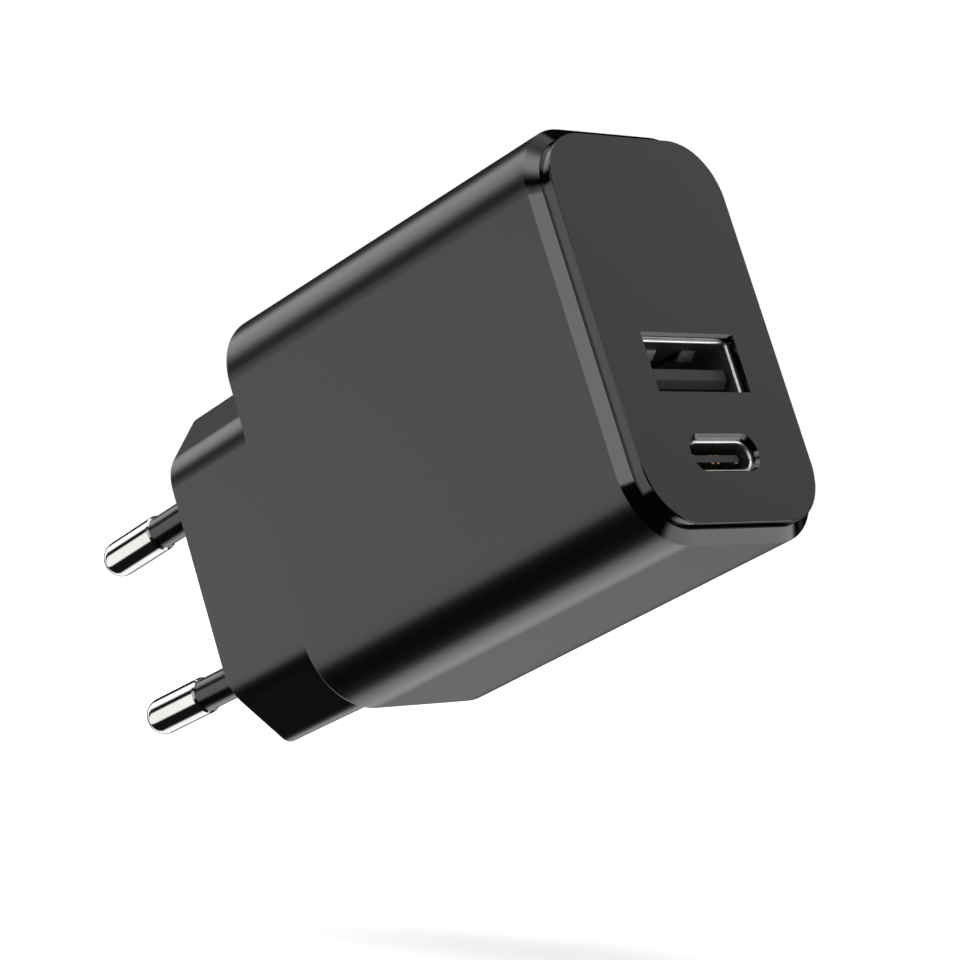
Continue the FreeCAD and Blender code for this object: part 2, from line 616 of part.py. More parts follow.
def make_transformer():
    """Two E-shaped ferrite halves on a bobbin with rails, its coil and a turn of tape."""
    y, z = "core_centre_y", "core_centre_z"

    def slab(name, low, height, depth, width, middle_y=y, middle_z=z):
        return box(name, (low, height), (f"{middle_y} - ({depth}) / 2", depth),
                   (f"{middle_z} - ({width}) / 2", width))

    halves = []
    for word, low in (("lower", "core_low"), ("upper", "core_low + core_tall / 2")):
        block = slab(f"core_{word}_block", low, "core_tall / 2", "core_depth", "core_width")
        start = "core_low + core_back" if word == "lower" else low
        window = slab(f"core_{word}_window", start, "core_tall / 2 - core_back", "core_depth",
                      "core_width - 2 * core_leg")
        post = rod(f"core_{word}_post", "core_post", "core_tall / 2 - core_back", (start, y, z), "x")
        halves.append(fuse(f"core_{word}", cut(f"core_{word}_arch", block, window), post))
    group("transformer_core", *halves)

    low, tall = "(core_low + core_back + bobbin_gap)", "(core_tall - 2 * core_back - 2 * bobbin_gap)"
    flange = "core_width - 2 * core_leg - 2 * bobbin_gap"
    bore = "core_post + 2 * bobbin_gap"
    tube = f"{bore} + 2 * bobbin_wall"
    pieces = [
        slab("bobbin_floor", low, "bobbin_wall", "bobbin_depth", flange),
        slab("bobbin_roof", f"{low} + {tall} - bobbin_wall", "bobbin_wall", "core_depth", flange),
        rod("bobbin_tube", tube, tall, (low, y, z), "x"),
    ]
    for word, side in (("front", -1), ("back", 1)):
        middle = f"{y} + {side} * (bobbin_depth - rail_width) / 2"
        pieces.append(slab(f"bobbin_rail_{word}", "board_top", f"{low} - board_top", "rail_width",
                           "core_width", middle))
    hole = rod("bobbin_bore", bore, tall, (low, y, z), "x")
    cut("transformer_bobbin", fuse("bobbin_form", *pieces), hole)

    inside, height = f"{low} + bobbin_wall", f"{tall} - 2 * bobbin_wall"
    coil = rod("coil_blank", "coil_diameter", height, (inside, y, z), "x")
    cut("transformer_windings", coil, rod("coil_bore", tube, height, (inside, y, z), "x"))
    band = rod("tape_blank", "coil_diameter + 2 * tape_thick", height, (inside, y, z), "x")
    cut("transformer_tape", band, rod("tape_bore", "coil_diameter", height, (inside, y, z), "x"))


def make_bulk_capacitors():
    """Three mains capacitors that stand on the main board, each with its rolled groove."""
    pitch = "(bulk_diameter + bulk_gap)"
    first_y = "(port_back + front_gap + bulk_diameter / 2)"
    first_z = "(-cavity_height / 2 + side_gap + bulk_diameter / 2)"
    places = ((first_y, first_z), (f"{first_y} + {pitch}", first_z), (first_y, f"{first_z} + {pitch}"))
    for i, (y, z) in enumerate(places, 1):
        part = body(f"bulk_capacitor_{i}")
        shape = sketch(part, f"bulk_{i}_profile", "XZ_Plane")
        full, neck = "bulk_diameter / 2", "bulk_diameter / 2 - bulk_groove"
        polygon(shape, [
            ("0", "0"), (full, "0"), (full, "bulk_groove_up"), (neck, "bulk_groove_up"),
            (neck, "bulk_groove_up + bulk_groove_wide"), (full, "bulk_groove_up + bulk_groove_wide"),
            (full, "bulk_tall - bulk_edge"), ("bulk_diameter / 2 - bulk_edge", "bulk_tall"),
            ("0", "bulk_tall"),
        ])
        turn = part.newObject("PartDesign::Revolution", f"bulk_{i}_turned")
        turn.Profile = shape
        turn.ReferenceAxis = (shape, ["V_Axis"])
        turn.Angle = 360
        part.Placement = Placement(Vector(), TURNS["x"])
        at(part, "board_top", y, z)


def make_main_chips():
    """The small parts between the capacitors and the mains filter."""
    first_y = "(port_back + front_gap + bulk_diameter + bulk_gap)"
    first_z = "(-cavity_height / 2 + side_gap + bulk_diameter + bulk_gap)"
    box("optocoupler", ("board_top", "opto_tall"), (first_y, "opto_length"), (first_z, "opto_width"))
    rod("y_capacitor", "y_cap_diameter", "y_cap_thick",
        ("board_top + y_cap_diameter / 2 + opto_tall + joint_gap",
         f"{first_y} + y_cap_diameter / 2", first_z), "z")
    behind = "(port_back + front_gap + bobbin_depth + chip_gap)"
    box("power_switch", ("board_top", "switch_tall"), (behind, "switch_length"),
        ("core_centre_z - switch_width / 2", "switch_width"))
    behind = f"({first_y} + max(bulk_diameter; opto_length) + chip_gap)"
    box("bridge_rectifier", ("board_top", "bridge_tall"), (behind, "bridge_width"),
        ("-cavity_height / 2 + side_gap + bulk_diameter / 2", "bridge_length"))


# ---------------------------------------------------------------- parts on the port board

def make_port_parts():
    """Output capacitors beside the sockets, and two chips on the board's back."""
    for word, side in (("left", -1), ("right", 1)):
        can = rod(f"output_capacitor_{word}_can", "out_cap_diameter", "out_cap_tall",
                  (f"{side} * out_cap_spacing / 2", "port_front - out_cap_tall", "out_cap_up"), "y")
        top = doc.addObject("Part::Chamfer", f"output_capacitor_{word}")
        top.Base = can
        doc.recompute()
        edge = next(i for i, e in enumerate(can.Shape.Edges, 1)
                    if e.BoundBox.YMax < size("port_front - out_cap_tall") + 1e-4 and e.Length > 1)
        top.Edges = [(edge, size("out_cap_edge"), size("out_cap_edge"))]
    box("protocol_chip", ("-chip_spacing / 2 - chip_size / 2", "chip_size"),
        ("port_back", "chip_tall"), ("chip_level", "chip_size"))
    box("sync_rectifier", ("chip_spacing / 2 - rectifier_size / 2", "rectifier_size"),
        ("port_back", "chip_tall"), ("chip_level", "rectifier_size"))


# ---------------------------------------------------------------- sheets by the shell

def make_sheets():
    """Insulating card under the main board, and a heat spreader by the opposite side."""
    tall = "(cavity_height - 2 * sheet_side)"
    box("insulation_sheet", ("-cavity_width / 2", "sheet_thick"),
        ("board_front", "board_back - board_front"), (f"-{tall} / 2", tall))
    tall = "(cavity_height - 2 * spreader_side)"
    inner = "cavity_width / 2 - spreader_thick"
    box("heat_spreader", (inner, "spreader_thick"),
        ("port_back + spreader_end", "board_back - spreader_end - port_back"), (f"-{tall} / 2", tall))
    top = "core_low + core_tall"
    box("thermal_pad", (top, f"{inner} - ({top})"),
        ("core_centre_y - core_depth / 2", "core_depth"), ("core_centre_z - pad_size / 2", "pad_size"))


# ---------------------------------------------------------------- USB-A socket

CONTACT_ROW = ((-1, "outer"), (-1, "inner"), (1, "inner"), (1, "outer"))


def make_usb_a():
    """Folded metal can with sprung fingers, a plastic tongue and four contacts."""
    part = body("usb_a_can")
    depth = "port_front - usb_a_mouth"
    tall = "(usb_a_inner_height / 2)"
    shape = sketch(part, "usb_a_section", level="usb_a_mouth")
    for grown, radius in (("2 * can_wall", "can_wall + can_round"), ("0", "can_round")):
        rounded_rectangle(shape, f"usb_a_inner_width + {grown}", f"usb_a_inner_height + {grown}",
                          radius, "usb_a_level")
    round_mouth(part, pad(part, shape, depth), "usb_a_mouth")
    windows, fingers = [], []
    for face, up in (("roof", 1), ("floor", -1)):
        for word, side in (("left", -1), ("right", 1)):
            name = f"{face}_{word}"
            x = f"{side} * finger_spacing / 2"
            inside = f"usb_a_level + {up} * {tall}"
            outside = f"usb_a_level + {up} * ({tall} + can_wall)"
            low = inside if up > 0 else outside
            windows.append(box(f"window_{name}", (f"{x} - finger_width / 2 - finger_gap",
                                                  "finger_width + 2 * finger_gap"),
                               ("usb_a_mouth + finger_front", "finger_length"), (low, "can_wall")))
            blade = body(f"finger_{name}")
            side_view = sketch(blade, f"finger_{name}_bend", "YZ_Plane", f"{x} - finger_width / 2")
            root = "usb_a_mouth + finger_front + finger_length"
            bend = "usb_a_mouth + finger_front + finger_bend"
            free = "usb_a_mouth + finger_front + finger_gap"
            dip, lift = f"{up} * finger_dip", f"{up} * finger_lift"
            polygon(side_view, [
                (root, inside), (bend, f"{inside} - {dip}"), (free, f"{inside} - {lift}"),
                (free, f"{outside} - {lift}"), (bend, f"{outside} - {dip}"), (root, outside),
            ])
            strip = blade.newObject("PartDesign::Pad", f"finger_{name}_strip")
            strip.Profile = side_view
            bind(strip, Length="finger_width")
            fingers.append(blade)
    opened = cut("usb_a_opened", part, *windows)
    fuse("usb_a_shell", opened, *fingers)

    moulding = body("usb_a_moulding")
    base = sketch(moulding, "usb_a_base_outline", level="port_front - usb_a_base")
    rounded_rectangle(base, "usb_a_inner_width", "usb_a_inner_height", "can_round", "usb_a_level")
    pad(moulding, base, "usb_a_base")
    tip = "usb_a_mouth + usb_a_tongue_back"
    under = "tongue_top - usb_a_tongue_thick"
    side_view = sketch(moulding, "usb_a_tongue_side", "YZ_Plane", "-usb_a_tongue_width / 2")
    polygon(side_view, [
        ("port_front", under), ("port_front", "tongue_top"),
        (f"{tip} + usb_a_tongue_edge", "tongue_top"), (tip, "tongue_top - usb_a_tongue_edge"),
        (tip, f"{under} + usb_a_tongue_bevel"), (f"{tip} + usb_a_tongue_bevel", under),
    ])
    strip = moulding.newObject("PartDesign::Pad", "usb_a_tongue_bar")
    strip.Profile = side_view
    bind(strip, Length="usb_a_tongue_width")
    strips = []
    for i, (side, pitch) in enumerate(CONTACT_ROW, 1):
        x = f"{side} * usb_a_{pitch}_pitch / 2"
        strips.append(box(f"usb_a_contact_{i}", (f"{x} - usb_a_contact_width / 2", "usb_a_contact_width"),
                          (f"{tip} + usb_a_contact_back", f"port_front - ({tip}) - usb_a_contact_back"),
                          ("tongue_top - usb_a_contact_thick / 2", "usb_a_contact_thick")))
    group("usb_a_contacts", *strips)
    cut("usb_a_insulator", moulding, *strips)


# ---------------------------------------------------------------- USB-C socket

def make_usb_c():
    """Oval drawn can, and a thin tongue with four contacts on each face."""
    part = body("usb_c_shell")
    shape = sketch(part, "usb_c_section", level="usb_c_mouth")
    usb_c_outline(shape, "2 * can_wall")
    usb_c_outline(shape)
    round_mouth(part, pad(part, shape, "port_front - usb_c_mouth"), "usb_c_mouth")

    moulding = body("usb_c_moulding")
    base = sketch(moulding, "usb_c_base_outline", level="port_front - usb_c_base")
    usb_c_outline(base)
    pad(moulding, base, "usb_c_base")
    tip = "usb_c_mouth + usb_c_tongue_back"
    blade = sketch(moulding, "usb_c_blade_outline", level=tip)
    rounded_rectangle(blade, "usb_c_tongue_width", "usb_c_tongue_thick", "usb_c_tongue_round",
                      "usb_c_level")
    pad(moulding, blade, f"port_front - usb_c_base - ({tip})")
    strips = []
    for face, up in (("upper", 1), ("lower", -1)):
        outer = f"usb_c_level + {up} * (usb_c_tongue_thick / 2 + usb_c_contact_proud)"
        low = f"{outer} - usb_c_contact_thick" if up > 0 else outer
        for i, (side, pitch) in enumerate(CONTACT_ROW, 1):
            x = f"{side} * usb_c_{pitch}_pitch / 2"
            strips.append(box(f"usb_c_contact_{face}_{i}",
                              (f"{x} - usb_c_contact_width / 2", "usb_c_contact_width"),
                              (f"{tip} + usb_c_contact_back",
                               f"port_front - ({tip}) - usb_c_contact_back"),
                              (low, "usb_c_contact_thick")))
    group("usb_c_contacts", *strips)
    cut("usb_c_insulator", moulding, *strips)


# ---------------------------------------------------------------- build and write

NODES = [
    "housing_shell", "face_plate", "pin_upper", "pin_lower", "sleeve_upper", "sleeve_lower",
    "pin_carrier", "contact_upper", "contact_lower", "input_board", "link_leads", "link_header",
    "fuse_tube", "fuse_caps", "varistor", "main_board", "x_capacitor", "choke_core",
    "choke_windings", "choke_base", "transformer_core", "transformer_bobbin",
    "transformer_windings", "transformer_tape", "bulk_capacitor_1", "bulk_capacitor_2",
    "bulk_capacitor_3", "optocoupler", "y_capacitor", "power_switch", "bridge_rectifier",
    "port_board", "output_capacitor_left", "output_capacitor_right", "protocol_chip",
    "sync_rectifier", "insulation_sheet", "heat_spreader", "thermal_pad", "usb_a_shell",
    "usb_a_insulator", "usb_a_contacts", "usb_c_shell", "usb_c_insulator", "usb_c_contacts",
]


def main():
    for make in (make_housing, make_face_plate, make_pins, make_pin_carrier, make_contacts,
                 make_boards, make_link, make_input_parts, make_mains_filter, make_transformer,
                 make_bulk_capacitors, make_main_chips, make_port_parts, make_sheets,
                 make_usb_a, make_usb_c):
        make()
    doc.recompute()
    failed = [f"{item.Label}: {item.State}" for item in doc.Objects
              if {"Invalid", "Error"} & set(item.State)]
    if failed:
        raise RuntimeError("failed objects: " + "; ".join(failed))
    parts = {}
    for node in NODES:
        item = doc.getObjectsByLabel(node)[0]
        if item.Shape.isNull() or not item.Shape.isValid() or not item.Shape.Solids:
            raise RuntimeError(f"{node} has no valid solid")
        parts[node] = item
    os.makedirs("parts", exist_ok=True)
    for node, item in parts.items():
        item.Shape.exportStep(f"parts/{node}.step")
        extent = item.Shape.BoundBox
        print(f"{node}: {len(item.Shape.Solids)} solid(s), {item.Shape.Volume:.2f} mm3, "
              f"x {extent.XMin:.2f} {extent.XMax:.2f} y {extent.YMin:.2f} {extent.YMax:.2f} "
              f"z {extent.ZMin:.2f} {extent.ZMax:.2f}")


main()
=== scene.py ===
import math

import bpy
from mathutils import Matrix, Vector


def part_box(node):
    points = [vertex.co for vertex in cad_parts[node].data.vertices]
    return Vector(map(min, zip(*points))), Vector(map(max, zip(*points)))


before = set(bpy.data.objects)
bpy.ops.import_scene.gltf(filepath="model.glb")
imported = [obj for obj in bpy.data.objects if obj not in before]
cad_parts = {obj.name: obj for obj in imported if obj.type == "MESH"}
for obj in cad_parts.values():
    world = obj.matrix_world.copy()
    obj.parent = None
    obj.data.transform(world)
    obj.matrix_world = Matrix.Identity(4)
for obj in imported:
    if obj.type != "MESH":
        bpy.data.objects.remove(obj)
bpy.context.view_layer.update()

# ---------------------------------------------------------------- mains pins
# Two round pins, turned from brass bar with a neck and a rounded nose, then plated with bright
# nickel. The cutter leaves rings round them that the plating nearly fills, so the finish runs
# round each pin and not along it.


def node(tree, kind, inputs=None, **settings):
    """Add a shader node. An input is a value, or the socket that feeds it."""
    item = tree.nodes.new("ShaderNode" + kind)
    for name, value in settings.items():
        setattr(item, name, value)
    for name, value in (inputs or {}).items():
        if isinstance(value, bpy.types.NodeSocket):
            tree.links.new(value, item.inputs[name])
        else:
            item.inputs[name].default_value = value
    return item


def start_effect(name, inputs):
    """An empty effect: a node group that puts out a colour, a roughness and a relief."""
    tree = bpy.data.node_groups.new(name, "ShaderNodeTree")
    for label, value in {"Place": (0.0, 0.0, 0.0), **inputs}.items():
        size = len(value) if isinstance(value, tuple) else 1
        kind = {1: "NodeSocketFloat", 3: "NodeSocketVector", 4: "NodeSocketColor"}[size]
        tree.interface.new_socket(label, in_out="INPUT", socket_type=kind).default_value = value
    for label, kind in (("Color", "Color"), ("Roughness", "Float"), ("Height", "Float")):
        tree.interface.new_socket(label, in_out="OUTPUT", socket_type="NodeSocket" + kind)
    return tree, tree.nodes.new("NodeGroupInput").outputs, tree.nodes.new("NodeGroupOutput").inputs


def spread(tree, mask, middle, width):
    """A value that swings about its middle, by width in all, as a mask goes from 0 to 1."""
    centred = node(tree, "Math", {0: mask, 1: 0.5}, operation="SUBTRACT").outputs[0]
    return node(tree, "Math", {0: centred, 1: width, 2: middle},
                operation="MULTIPLY_ADD").outputs[0]


def give(names, title, effect, settings, relief, **plain):
    """Make a material from an effect and give it to CAD nodes. relief is the bump's depth in
    metres; plain values go straight onto the shader."""
    material = bpy.data.materials.new(title)
    material.use_nodes = True
    tree = material.node_tree
    shader = tree.nodes["Principled BSDF"]
    look = node(tree, "Group", node_tree=effect)
    tree.links.new(node(tree, "TexCoord").outputs["Object"], look.inputs["Place"])
    for label, value in settings.items():
        look.inputs[label].default_value = value
    bump = node(tree, "Bump", {"Distance": relief, "Height": look.outputs["Height"]})
    tree.links.new(look.outputs["Color"], shader.inputs["Base Color"])
    tree.links.new(look.outputs["Roughness"], shader.inputs["Roughness"])
    tree.links.new(bump.outputs["Normal"], shader.inputs["Normal"])
    for label, value in plain.items():
        shader.inputs[label.replace("_", " ")].default_value = value
    for name in names:
        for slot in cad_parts[name].material_slots:
            slot.material = material


FIRST_STAIN, FULL_STAIN = 0.45, 0.7   # of the stain noise, where tarnish starts and is full

worked_metal, given, out = start_effect("worked_metal", {
    "Color": (0.6, 0.6, 0.6, 1.0), "Tarnish": (0.4, 0.4, 0.4, 1.0), "Roughness": 0.2,
    "Unevenness": 0.1, "Line Direction": (0.0, 1.0, 0.0), "Line Count": 8000.0,
    "Stain Count": 120.0, "Tarnish Amount": 0.3,
})
along = node(worked_metal, "VectorMath", {0: given["Place"], 1: given["Line Direction"]},
             operation="DOT_PRODUCT").outputs["Value"]
lines = node(worked_metal, "TexNoise", {"W": along, "Scale": given["Line Count"], "Detail": 3.0},
             noise_dimensions="1D").outputs["Fac"]
stains = node(worked_metal, "TexNoise", {"Vector": given["Place"], "Scale": given["Stain Count"],
                                         "Detail": 4.0, "Roughness": 0.6}).outputs["Fac"]
patches = node(worked_metal, "MapRange", {
    "Value": stains, "From Min": FIRST_STAIN, "From Max": FULL_STAIN,
    "To Max": given["Tarnish Amount"]}).outputs[0]
tint = node(worked_metal, "MixRGB", {"Fac": patches, "Color1": given["Color"],
                                     "Color2": given["Tarnish"]}).outputs[0]
worked_metal.links.new(tint, out["Color"])
blurred = spread(worked_metal, stains, given["Roughness"], given["Unevenness"])
worked_metal.links.new(blurred, out["Roughness"])
worked_metal.links.new(lines, out["Height"])

give(["pin_upper", "pin_lower"], "bright_nickel_plate", worked_metal, {
    "Color": (0.52, 0.515, 0.505, 1.0), "Tarnish": (0.45, 0.44, 0.42, 1.0), "Roughness": 0.09,
    "Unevenness": 0.06, "Line Count": 9000.0, "Stain Count": 300.0, "Tarnish Amount": 0.5,
}, relief=4e-7, Metallic=1.0)

# ---------------------------------------------------------------- sleeves and pin carrier
# Black sleeves are moulded straight onto the necks of the pins, so that no bare metal can be
# touched while the plug is half in. Behind them the pins are pressed through a carrier, a plain
# block of the same tough plastic, which lies inside the boss.

moulded, given, out = start_effect("moulded_plastic", {
    "Color": (0.02, 0.02, 0.02, 1.0), "Cloud Color": (0.03, 0.03, 0.03, 1.0), "Roughness": 0.3,
    "Unevenness": 0.1, "Cloud Count": 70.0, "Grain Count": 4000.0, "Flow": 0.3,
    "Rim Level": -1.0, "Rim Roughness": 0.06,
})
clouds = node(moulded, "TexNoise", {"Vector": given["Place"], "Scale": given["Cloud Count"],
                                    "Detail": 3.0, "Distortion": given["Flow"]}).outputs["Fac"]
grain = node(moulded, "TexNoise", {"Vector": given["Place"], "Scale": given["Grain Count"],
                                   "Detail": 2.0}).outputs["Fac"]
tint = node(moulded, "MixRGB", {"Fac": clouds, "Color1": given["Color"],
                                "Color2": given["Cloud Color"]}).outputs[0]
moulded.links.new(tint, out["Color"])
speckle = node(moulded, "Math", {0: clouds, 1: grain}, operation="ADD").outputs[0]
halved = node(moulded, "Math", {0: speckle, 1: 0.5}, operation="MULTIPLY").outputs[0]
body_blur = spread(moulded, halved, given["Roughness"], given["Unevenness"])
depth = node(moulded, "SeparateXYZ", {0: given["Place"]}).outputs["Y"]
on_rim = node(moulded, "Math", {0: depth, 1: given["Rim Level"]}, operation="LESS_THAN").outputs[0]
polish = node(moulded, "MapRange", {"Value": on_rim, "To Min": body_blur,
                                    "To Max": given["Rim Roughness"]}).outputs[0]
moulded.links.new(polish, out["Roughness"])
moulded.links.new(grain, out["Height"])

give(["sleeve_upper", "sleeve_lower"], "sleeve_plastic", moulded, {
    "Color": (0.001, 0.001, 0.001, 1.0), "Cloud Color": (0.002, 0.002, 0.002, 1.0),
    "Roughness": 0.22, "Cloud Count": 400.0, "Grain Count": 7000.0,
}, relief=1e-6)
give(["pin_carrier"], "carrier_plastic", moulded, {
    "Color": (0.03, 0.03, 0.03, 1.0), "Cloud Color": (0.05, 0.05, 0.048, 1.0),
    "Roughness": 0.5, "Grain Count": 2500.0,
}, relief=8e-6)

# ---------------------------------------------------------------- contact angles
# Two angles blanked and folded from hard brass strip. Each is slipped over a pin's tail and
# peened, and its foot is soldered to the input board.

give(["contact_upper", "contact_lower"], "rolled_brass", worked_metal, {
    "Color": (0.72, 0.5, 0.2, 1.0), "Tarnish": (0.38, 0.22, 0.09, 1.0), "Roughness": 0.32,
    "Unevenness": 0.2, "Line Direction": (0.6, 0.0, 0.8), "Line Count": 6000.0,
    "Stain Count": 500.0, "Tarnish Amount": 0.7,
}, relief=2e-6, Metallic=1.0)

# ---------------------------------------------------------------- circuit boards
# Glass-cloth boards: the small input board lies in the boss, the main board along one side and
# the port board across the front. Copper tracks run under a green lacquer, which stands a
# little proud over them.

TRACK_EDGE = 0.3, 0.34                # of a cell's size: board inside, track outside
PAD_EDGE = 0.1, 0.09                  # the tinned pad at the cell's middle
LACQUER_ROUGHNESS, LACQUER_SWING = 0.38, 0.2

lacquered, given, out = start_effect("lacquered_board", {
    "Color": (0.01, 0.09, 0.03, 1.0), "Track Color": (0.03, 0.2, 0.07, 1.0),
    "Pad Color": (0.6, 0.6, 0.58, 1.0), "Track Count": 420.0, "Weave Count": 2500.0,
})
cells = node(lacquered, "TexVoronoi", {"Vector": given["Place"], "Scale": given["Track Count"],
                                       "Randomness": 0.75}, distance="CHEBYCHEV")
tracks, pads = (node(lacquered, "MapRange", {
    "Value": cells.outputs["Distance"], "From Min": low, "From Max": high}).outputs[0]
    for low, high in (TRACK_EDGE, PAD_EDGE))
weave = node(lacquered, "TexNoise", {"Vector": given["Place"], "Scale": given["Weave Count"],
                                     "Detail": 1.0}).outputs["Fac"]
tint = node(lacquered, "MixRGB", {"Fac": tracks, "Color1": given["Color"],
                                  "Color2": given["Track Color"]}).outputs[0]
tinned = node(lacquered, "MixRGB", {"Fac": pads, "Color1": tint,
                                    "Color2": given["Pad Color"]}).outputs[0]
lacquered.links.new(tinned, out["Color"])
gloss = spread(lacquered, weave, LACQUER_ROUGHNESS, LACQUER_SWING)
lacquered.links.new(gloss, out["Roughness"])
raised = node(lacquered, "Math", {0: tracks, 1: pads}, operation="ADD").outputs[0]
lacquered.links.new(raised, out["Height"])

give(["input_board", "main_board", "port_board"], "green_board", lacquered, {}, relief=3.5e-5)

# ---------------------------------------------------------------- header between the boards
# A two-way pin header: square tinned brass wires in a black moulded strip. It stands on the main
# board and carries mains from the input board's tongue.

give(["link_leads"], "tinned_wire", worked_metal, {
    "Color": (0.72, 0.72, 0.7, 1.0), "Tarnish": (0.5, 0.5, 0.48, 1.0), "Roughness": 0.3,
    "Unevenness": 0.2, "Line Direction": (1.0, 0.0, 0.0), "Tarnish Amount": 0.6,
}, relief=1e-6, Metallic=1.0)
give(["link_header"], "header_plastic", moulded, {
    "Color": (0.012, 0.012, 0.012, 1.0), "Roughness": 0.45, "Grain Count": 3000.0,
}, relief=5e-6)

# ---------------------------------------------------------------- fuse and varistor
# The fuse is a ceramic tube with pressed caps over its ends. The varistor is a disc of zinc
# oxide dipped in blue epoxy, which leaves a slightly wavy, glossy skin.

give(["fuse_tube"], "fuse_ceramic", moulded, {
    "Color": (0.78, 0.75, 0.68, 1.0), "Cloud Color": (0.7, 0.66, 0.58, 1.0), "Roughness": 0.5,
    "Cloud Count": 300.0, "Grain Count": 5000.0,
}, relief=6e-6)
give(["fuse_caps"], "pressed_nickel_cap", worked_metal, {
    "Color": (0.68, 0.67, 0.62, 1.0), "Tarnish": (0.45, 0.42, 0.36, 1.0), "Roughness": 0.22,
    "Line Direction": (0.0, 0.0, 1.0), "Line Count": 5000.0, "Stain Count": 400.0,
}, relief=1.5e-6, Metallic=1.0)
give(["varistor"], "blue_dipped_epoxy", moulded, {
    "Color": (0.01, 0.08, 0.32, 1.0), "Cloud Color": (0.015, 0.13, 0.42, 1.0),
    "Roughness": 0.25, "Cloud Count": 500.0, "Grain Count": 900.0, "Flow": 1.5,
}, relief=6e-5)

# ---------------------------------------------------------------- mains filter
# A yellow boxed film capacitor, and a common-mode choke: a ferrite ring with two coils of
# enamelled wire on it, stood on a small base.

WANDER_COUNT = 250.0                  # how often per metre the wires stray from a straight lay
ENAMEL_SWING = 0.15

wound, given, out = start_effect("wound_wire", {
    "Color": (0.6, 0.2, 0.06, 1.0), "Gap Color": (0.1, 0.03, 0.01, 1.0), "Roughness": 0.25,
    "Across": (1.0, 0.0, 0.0), "Turns": 20000.0,
})
along = node(wound, "VectorMath", {0: given["Place"], 1: given["Across"]},
             operation="DOT_PRODUCT").outputs["Value"]
wander = node(wound, "TexNoise", {"Vector": given["Place"],
                                  "Scale": WANDER_COUNT}).outputs["Fac"]
phase = node(wound, "Math", {0: along, 1: given["Turns"], 2: wander},
             operation="MULTIPLY_ADD").outputs[0]
wave = node(wound, "Math", {0: phase}, operation="SINE").outputs[0]
ridge = node(wound, "Math", {0: wave}, operation="ABSOLUTE").outputs[0]
# The colour darkens towards the groove between turns, where the relief is lowest: painted shade in
# the grooves.
tint = node(wound, "MixRGB", {"Fac": ridge, "Color1": given["Gap Color"],
                              "Color2": given["Color"]}).outputs[0]
wound.links.new(tint, out["Color"])
blurred = spread(wound, wander, given["Roughness"], ENAMEL_SWING)
wound.links.new(blurred, out["Roughness"])
wound.links.new(ridge, out["Height"])

give(["x_capacitor"], "yellow_box_plastic", moulded, {
    "Color": (0.75, 0.5, 0.03, 1.0), "Cloud Color": (0.68, 0.42, 0.02, 1.0), "Roughness": 0.4,
    "Cloud Count": 150.0, "Grain Count": 2500.0,
}, relief=1e-5)
# The choke wire is painted dark in the grooves between turns: painted shade.
give(["choke_windings"], "enamelled_choke_wire", wound, {
    "Across": (0.0, 1.0, 0.0), "Turns": 7000.0,
}, relief=1.2e-4, Metallic=0.6, Coat_Weight=0.5)
give(["choke_base"], "base_card", moulded, {
    "Color": (0.05, 0.035, 0.02, 1.0), "Cloud Color": (0.08, 0.055, 0.03, 1.0),
    "Roughness": 0.55, "Grain Count": 1800.0,
}, relief=1.5e-5)
give(["choke_core", "transformer_core"], "pressed_ferrite", moulded, {
    "Color": (0.025, 0.024, 0.023, 1.0), "Cloud Color": (0.05, 0.048, 0.046, 1.0),
    "Roughness": 0.55, "Unevenness": 0.3, "Cloud Count": 300.0, "Grain Count": 2200.0,
}, relief=2.5e-5)

# ---------------------------------------------------------------- transformer
# Two ferrite halves are glued round a black bobbin. The coil on the bobbin is thin enamelled
# wire, closed with a turn of amber polyester tape.

give(["transformer_bobbin"], "bobbin_plastic", moulded, {
    "Color": (0.015, 0.014, 0.013, 1.0), "Roughness": 0.42, "Grain Count": 2500.0,
}, relief=8e-6)
# The coil wire is painted dark in the grooves between turns: painted shade.
give(["transformer_windings"], "enamelled_coil_wire", wound, {
    "Across": (1.0, 0.0, 0.0), "Turns": 16000.0,
}, relief=5e-5, Metallic=0.6, Coat_Weight=0.5)
# The tape's grooves are painted a slightly darker amber: painted shade.
give(["transformer_tape"], "amber_tape", wound, {
    "Color": (0.62, 0.38, 0.04, 1.0), "Gap Color": (0.5, 0.28, 0.03, 1.0), "Roughness": 0.22,
    "Across": (0.9, 0.3, 0.3), "Turns": 1200.0,
}, relief=1e-5, Coat_Weight=0.4)

# ---------------------------------------------------------------- capacitors
# Mains capacitors: aluminium cans shrunk into a dark sleeve that shows the rolled groove. The
# output capacitors are bare polymer cans, and the small disc that bridges the transformer is
# dipped in teal epoxy.

give([f"bulk_capacitor_{i}" for i in (1, 2, 3)], "shrunk_sleeve", moulded, {
    "Color": (0.012, 0.016, 0.035, 1.0), "Cloud Color": (0.02, 0.026, 0.05, 1.0),
    "Roughness": 0.3, "Cloud Count": 300.0, "Grain Count": 1500.0, "Flow": 2.0,
}, relief=1.5e-5, Coat_Weight=0.3)
give(["output_capacitor_left", "output_capacitor_right"], "drawn_aluminium_can", worked_metal, {
    "Color": (0.78, 0.78, 0.79, 1.0), "Tarnish": (0.6, 0.6, 0.61, 1.0), "Roughness": 0.3,
    "Line Count": 5000.0, "Stain Count": 250.0,
}, relief=2e-6, Metallic=1.0)
give(["y_capacitor"], "teal_dipped_epoxy", moulded, {
    "Color": (0.01, 0.2, 0.26, 1.0), "Cloud Color": (0.015, 0.28, 0.34, 1.0),
    "Roughness": 0.25, "Cloud Count": 500.0, "Grain Count": 900.0, "Flow": 1.5,
}, relief=6e-5)

# ---------------------------------------------------------------- chips
# Semiconductors are blocks of black epoxy, moulded in polished tools: the switch, the bridge,
# the coupler that carries feedback, and the two chips on the port board.

